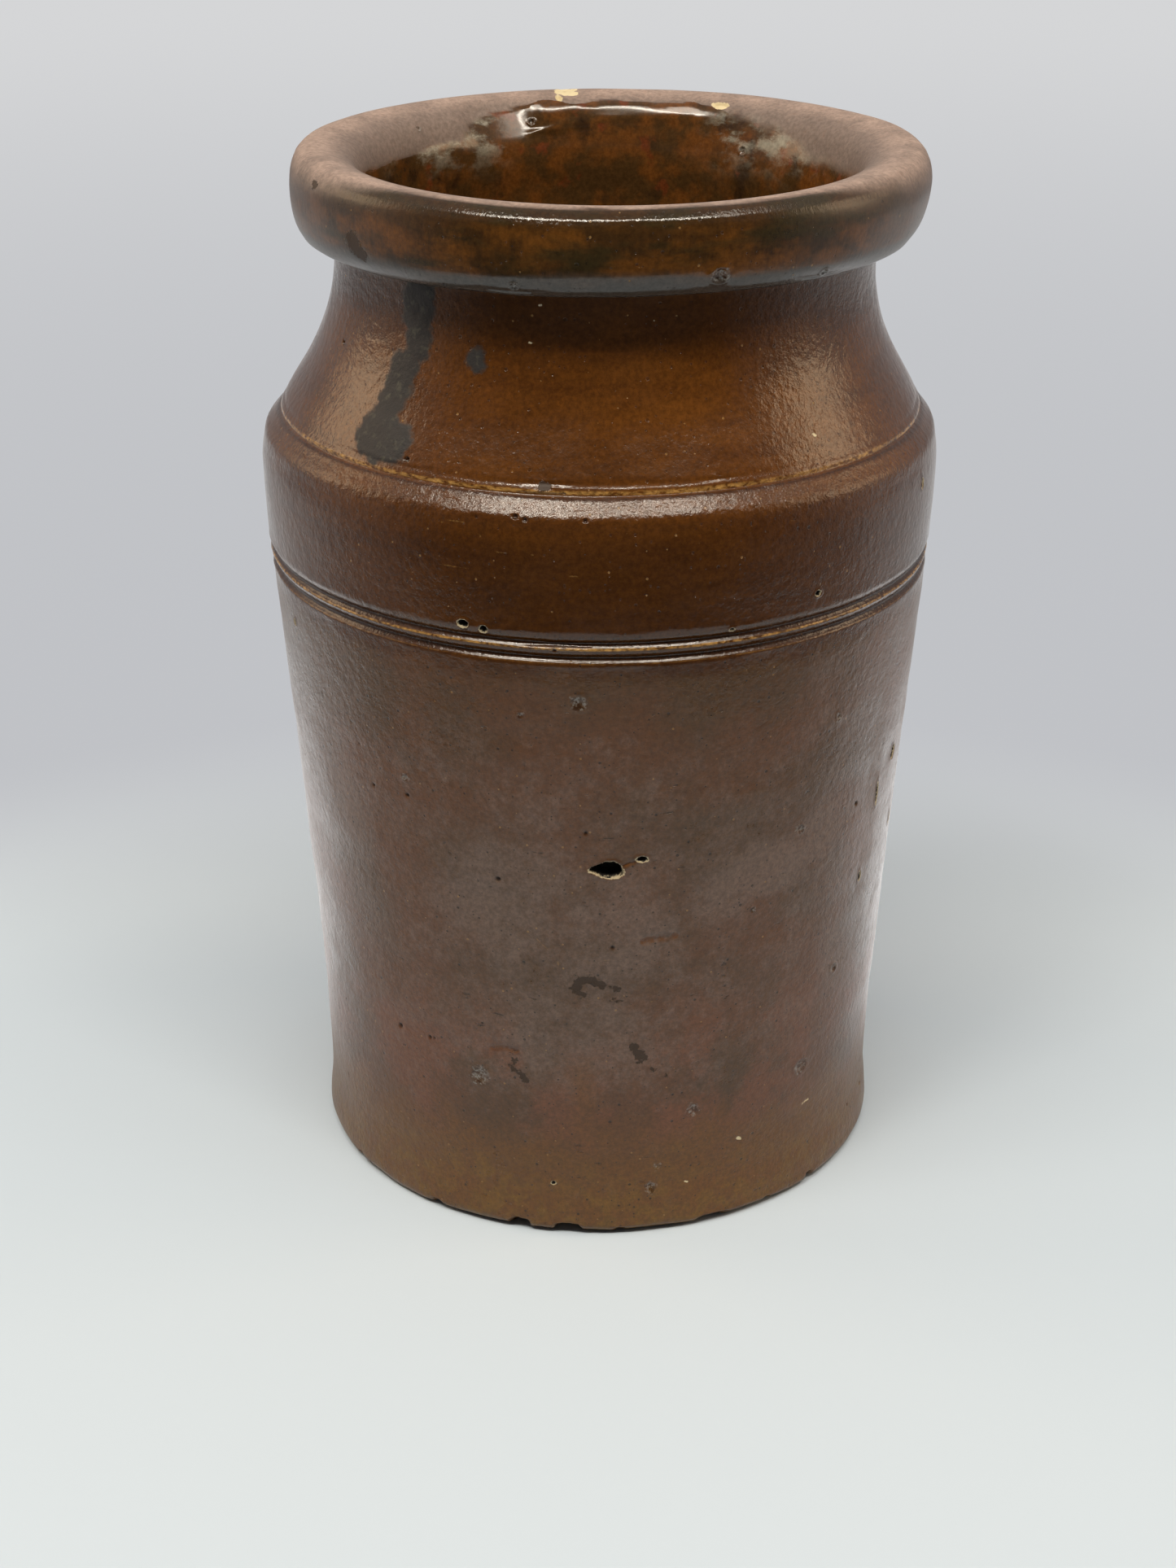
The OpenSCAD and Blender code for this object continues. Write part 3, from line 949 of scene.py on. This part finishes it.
    # Dry, pinkish crown, with painted shade turning it mauve down the inside of the lip
    dry = m.mix(m.rise(m.noise(8, 4, offset=61), 0.35, 0.7, 0, 0.6), MATT_PINK, MATT_MAUVE)
    # Painted shade: darker mauve going down into the mouth
    dry = m.mix(m.times(m.mask("flare"), 0.85), dry, MATT_MAUVE)
    dry = m.mix(m.rise(grain, 0.55, 0.8, 0, 0.3), dry, GLAZE_WARM)
    m.coat(dry, crown)

    # Cuts and arrises, with painted shade in the bottoms of the grooves
    broken = m.rise(m.noise(1.1, 3, (1, 1, 2), offset=67), 0.34, 0.62)
    ragged_edge = m.times(broken, m.rise(patch, 0.35, 0.6, 0.5, 1.0))
    # Painted shade in the groove bottoms
    m.coat(GROOVE_DARK, m.mask("groove"), 0.8)
    edge = m.times(m.rise(m.mask("edge"), 0.45, 0.9), ragged_edge)
    m.coat(GOLD, edge, 0.9)

    # Short dark cracks that follow the turning, on the belly and foot
    cracks = m.rise(m.noise(1.3, 3, (0.4, 0.4, 1.1), 0.6, offset=45), 0.66, 0.72)
    cracks = m.times(cracks, m.rise(z, 126, 118))
    cracks = m.times(cracks, outside, m.rise(m.noise(22, 3, offset=65), 0.42, 0.6, 0.15, 1.0))
    m.coat(SMUDGE_BROWN, cracks, 0.75)

    # Iron specks and pale flecks
    specks = m.most(m.spots(2.1, 0.34, 0.5), m.spots(0.9, 0.2, 0.35, 19))
    flecks = m.spots(1.7, 0.24, 0.3, 7)
    quiet = m.rest(m.most(crown, within), clamp=True)
    grit = m.noise(0.9, 6, roughness=0.7, offset=97)
    m.body = m.vector("SCALE", m.body, m.rise(grit, 0.3, 0.7, 0.74, 1.26))
    m.coat(BLACK, specks, quiet, m.rise(z, 126, 134, 0.7, 0.35))
    m.coat(GOLD, flecks, quiet, 0.35)

    # Marks: each field is millimetres inside the mark's edge, roughened here
    jitter = m.swing(fine, 0.5)

    def inside(name, low=-0.08, high=0.08):
        return m.rise(m.plus(m.mask(name), jitter), low, high)

    frayed = m.plus(m.mask("run"), m.swing(m.noise(2.2, 4, offset=79), 3.2))
    run = m.rise(frayed, -1.0, 0.4)
    m.coat(BLUE_GREY, run, 0.94)
    green = m.times(inside("run"), m.rise(m.noise(1.6, 4, offset=81), 0.54, 0.68, 0, 0.6))
    m.coat(GREY_GREEN, green)
    ragged = m.swing(m.noise(0.9, 4, offset=77), 2.6)
    smudge = m.rise(m.plus(m.mask("smudge"), ragged), -0.15, 0.2)
    m.coat(SMUDGE_BROWN, smudge, 0.9)
    m.coat(GLAZE_WARM, inside("amber", -0.15, 0.15), m.rise(grain, 0.35, 0.6), 0.9)
    crumbs = m.noise(0.7, 4, roughness=0.65, offset=83)
    ring = m.rise(m.plus(m.mask("ring"), ragged), -0.5, 0.3)
    m.coat(GROOVE_DARK, ring, m.rise(crumbs, 0.5, 0.4), 0.75)
    m.coat(PALE_GREY, ring, m.rise(crumbs, 0.47, 0.62), 0.85)
    m.coat(GOLD, inside("scratch", 0.02, 0.3), 0.3)
    cream = m.most(inside("cream"), m.times(inside("hole", -0.16, -0.04), 0.65))
    m.coat(m.mix(m.rise(grain, 0.5, 0.8, 0, 0.4), CREAM_CLAY, GOLD), cream)
    m.coat(m.mix(m.rise(grain, 0.35, 0.65), CLAY_GREY, FOOT), m.mask("chip"), 0.85)
    # Painted shade inside the pinholes and the open blow-holes
    m.coat(GROOVE_DARK, inside("pit", -0.1, 0.25), 0.85)
    hole = inside("hole", -0.02, 0.12)
    m.coat(BLACK, hole)
    m.link(m.body, m.surface.inputs["Base Color"])

    gloss = m.rise(patch, 0.3, 0.7, 0.13, 0.2)
    turn = m.times(m.rise(z, 153, 155.5), m.rise(z, 160.5, 158.5))
    for amount, roughness in (
        (m.times(m.rise(z, 130, 122), outside), m.rise(cloud, 0.35, 0.65, 0.27, 0.36)),
        (turn, 0.2),
        (within, 0.15),
        (roll, m.rise(m.side(), 20, 42, 0.115, 0.34)),
        (bloom, 0.5),
        (m.most(run, smudge), 0.6),
        (m.most(crown, m.times(frost, 0.5)), 0.62),
        (m.most(cream, m.most(hole, m.mask("chip"))), 0.85),
    ):
        gloss = m.blend(amount, gloss, roughness)
    m.link(gloss, m.surface.inputs["Roughness"])

    # Relief in millimetres: the glaze is rougher on the sides and on the shoulder's turn
    calm = m.rest(m.times(m.most(roll, within), 0.8))
    calm = m.times(calm, m.plus(m.rise(m.side(), 16, 34, 0.55, 1.5), m.times(turn, 0.9)))
    sparkle = m.noise(0.8, 2, (1.3, 1.3, 0.45), offset=33)
    m.relief(
        m.plus(
            m.times(m.noise(1.7, 4, offset=87), calm, 0.13),
            m.times(m.noise(0.5, 3, offset=89), calm, 0.045),
            m.times(dragged, roll, 0.03),
            m.times(sparkle, roll, m.rise(z, 206, 207.5), 0.07),
            m.times(crown, fine, 0.03),
            m.plus(m.times(m.most(specks, flecks), quiet, -0.05), m.times(m.most(cracks, smudge), -0.12)),
        )
    )
    return m.material


def weight_material():
    m = Shader("unglazed stoneware")
    m.body = m.mix(m.rise(m.noise(16, 4), 0.35, 0.65), (0.55, 0.44, 0.31), (0.62, 0.52, 0.39))
    m.coat((0.42, 0.31, 0.20), m.rise(m.noise(1.2, 4, offset=5), 0.5, 0.72, 0, 0.35))
    specks = m.most(m.spots(2.4, 0.4, 0.45), m.spots(1.0, 0.2, 0.35, 19))
    m.coat((0.10, 0.055, 0.03), specks, 0.8)
    m.link(m.body, m.surface.inputs["Base Color"])
    m.link(m.rise(m.noise(3, 3, offset=9), 0.3, 0.7, 0.55, 0.72), m.surface.inputs["Roughness"])
    m.relief(m.plus(m.times(m.noise(0.7, 3, offset=13), 0.05), m.times(specks, -0.06)))
    return m.material


# -------- the pieces

skin, crock_faces = crock_grid()
crock_points, crock_masks = shape_skin(skin)
crock = new_mesh("glazed_crock", crock_points, crock_faces, crock_masks)
crock.data.materials.append(glaze_material())
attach(crock, "crock_body")
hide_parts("crock")

stoneware = weight_material()
for name, node, body, side, seed in (
    ("left_half_weight", "weight_left", "left_weight", -1, 101),
    ("right_half_weight", "weight_right", "right_weight", 1, 131),
):
    weight = weight_mesh(name, node, side, seed)
    weight.data.materials.append(stoneware)
    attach(weight, body)
    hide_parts(node)


# -------- floor, lights and camera

NEAR_FLOOR_R = 0.27
FAR_FLOOR_R = 6.0
RING_POINTS = 96
PALE_FLOOR = (0.56, 0.64, 0.725)
FAR_GREY, BACKDROP_GREY = (0.53, 0.54, 0.565), (0.665, 0.67, 0.68)


def ring_mesh(name, inner_r, outer_r):
    angles = [2 * math.pi * k / RING_POINTS for k in range(RING_POINTS)]
    points = [(outer_r * math.cos(t), outer_r * math.sin(t), 0) for t in angles]
    if not inner_r:
        faces = [list(range(RING_POINTS))]
    else:
        points += [(inner_r * math.cos(t), inner_r * math.sin(t), 0) for t in angles]
        faces = [
            [k, (k + 1) % RING_POINTS, RING_POINTS + (k + 1) % RING_POINTS, RING_POINTS + k]
            for k in range(RING_POINTS)
        ]
    mesh = bpy.data.meshes.new(name)
    mesh.from_pydata(points, [], faces)
    return mesh


def floor_material():
    """Pale and matt near the crock, and an even pale grey further off."""
    m = Shader("pale floor")
    m.surface.inputs["Roughness"].default_value = 0.9
    m.surface.inputs["Specular IOR Level"].default_value = 0.1
    m.link(PALE_FLOOR, m.surface.inputs["Base Color"])
    away = m.length(m.vector("ADD", m.place, (0, 150, 0)))
    even = m.emission(m.mix(m.rise(away, 400, 1900), FAR_GREY, BACKDROP_GREY))
    m.show(even, m.surface.outputs[0], m.rise(away, 255, 370))
    return m.material


def backdrop_material():
    m = Shader("pale backdrop")
    m.show(m.emission(BACKDROP_GREY))
    return m.material


def stage_piece(name, mesh, material, shiny_rays=True, soft_rays=True):
    mesh.materials.append(material)
    piece = new_object(name, mesh)
    piece.visible_glossy = shiny_rays
    piece.visible_diffuse = soft_rays
    piece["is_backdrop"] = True
    return piece


floor_look = floor_material()
stage_piece("floor_near", ring_mesh("floor_near", 0, NEAR_FLOOR_R), floor_look)
stage_piece("floor_far", ring_mesh("floor_far", NEAR_FLOOR_R, FAR_FLOOR_R), floor_look, shiny_rays=False)

dome = bmesh.new()
bmesh.ops.create_uvsphere(dome, u_segments=64, v_segments=32, radius=FAR_FLOOR_R * 0.99)
dome_mesh = bpy.data.meshes.new("backdrop")
dome.to_mesh(dome_mesh)
dome.free()
backdrop = stage_piece("backdrop", dome_mesh, backdrop_material(), False, False)
backdrop.visible_shadow = False
backdrop.visible_transmission = False
backdrop.visible_volume_scatter = False


WARM, SOFT_WARM = (1, 0.72, 0.45), (1, 0.92, 0.79)

# Lamps, which all face the crock: name, place, width and height in metres, watts and colour
LAMPS = [
    ("front_lamp", (0, -0.72, 1.37), (0.7, 0.3), 2.0, SOFT_WARM),
    ("front_left_lamp", (-0.55, -0.52, 1.36), (0.6, 0.36), 7.4, SOFT_WARM),
    ("front_right_lamp", (0.56, -0.50, 1.34), (0.6, 0.36), 3.8, SOFT_WARM),
    ("bright_tube", (0, -0.68, 1.40), (1.3, 0.05), 12.0, SOFT_WARM),
    ("left_window", (-1.16, 0.28, 0.6), (0.6, 0.6), 3.4, WARM),
    ("right_window", (1.2, 0, 0.6), (0.5, 0.6), 3.6, WARM),
]
for name, place, size, power, color in LAMPS:
    light = bpy.data.lights.new(name, "AREA")
    light.shape = "RECTANGLE"
    light.size, light.size_y = size
    light.energy = power
    light.color = color
    lamp = new_object(name, light)
    lamp.location = place
    facing = (cad_lo + cad_hi) / 2 - lamp.location
    lamp.rotation_euler = facing.to_track_quat("-Z", "Y").to_euler()
    lamp.visible_camera = False

# A glow on the floor beside and behind the crock, which only shiny surfaces reflect: its radii in
# metres, its strength near and far, and the millimetres over which it fades
GLOW_R = (0.075, 0.9)
GLOW, FAR_GLOW = 1.9, 0.7
GLOW_FADE = (160, 330)


def glow_material():
    m = Shader("floor glow")
    light = m.emission((1, 1, 1), m.rise(m.length(m.place), *GLOW_FADE, GLOW, FAR_GLOW))
    clear = m.new("BsdfTransparent").outputs[0]
    m.show(light, clear, m.rise(m.axis(1), -40, 90))
    return m.material


glow = stage_piece("floor_glow", ring_mesh("floor_glow", *GLOW_R), glow_material(), True, False)
glow.location.z = 0.0005
glow.visible_camera = glow.visible_shadow = glow.visible_transmission = False

# Surroundings: pale behind and at the sides, dark on the camera's side
DARK_SIDE, PALE_SIDE = (0.03, 0.03, 0.031, 1), (0.38, 0.385, 0.395, 1)
world = bpy.data.worlds.new("surroundings")
world.use_nodes = True
bpy.context.scene.world = world
tree = world.node_tree
where = tree.nodes.new("ShaderNodeTexCoord").outputs["Generated"]
axes = tree.nodes.new("ShaderNodeSeparateXYZ")
tree.links.new(where, axes.inputs[0])
forward = tree.nodes.new("ShaderNodeMapRange")
forward.interpolation_type = "SMOOTHSTEP"
tree.links.new(axes.outputs["Y"], forward.inputs[0])
forward.inputs[1].default_value, forward.inputs[2].default_value = -0.75, 0.1
shade = tree.nodes.new("ShaderNodeMix")
shade.data_type = "RGBA"
tree.links.new(forward.outputs[0], shade.inputs[0])
shade.inputs[6].default_value = DARK_SIDE
shade.inputs[7].default_value = PALE_SIDE
tree.links.new(shade.outputs[2], tree.nodes["Background"].inputs["Color"])

# The camera looks down at the crock from the front: distances in crock heights, angle in degrees
EYE_BACK, EYE_UP, EYE_LEFT = 2.33, 1.4325, 0.0109
EYE_TILT = 24.86
LENS, SENSOR = 57.9, 36.0

camera_data = bpy.data.cameras.new("camera")
camera_data.lens, camera_data.sensor_width = LENS, SENSOR
camera_data.clip_start, camera_data.clip_end = 0.01, 20
camera = new_object("camera", camera_data)
tall = TOP * MM
camera.location = (-EYE_LEFT * tall, -EYE_BACK * tall, EYE_UP * tall)
camera.rotation_euler = (math.radians(90 - EYE_TILT), 0, 0)
bpy.context.scene.camera = camera
bpy.context.scene.view_settings.view_transform = "Standard"

sizes = [list(corner) for corner in (cad_lo, cad_hi, *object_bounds())]
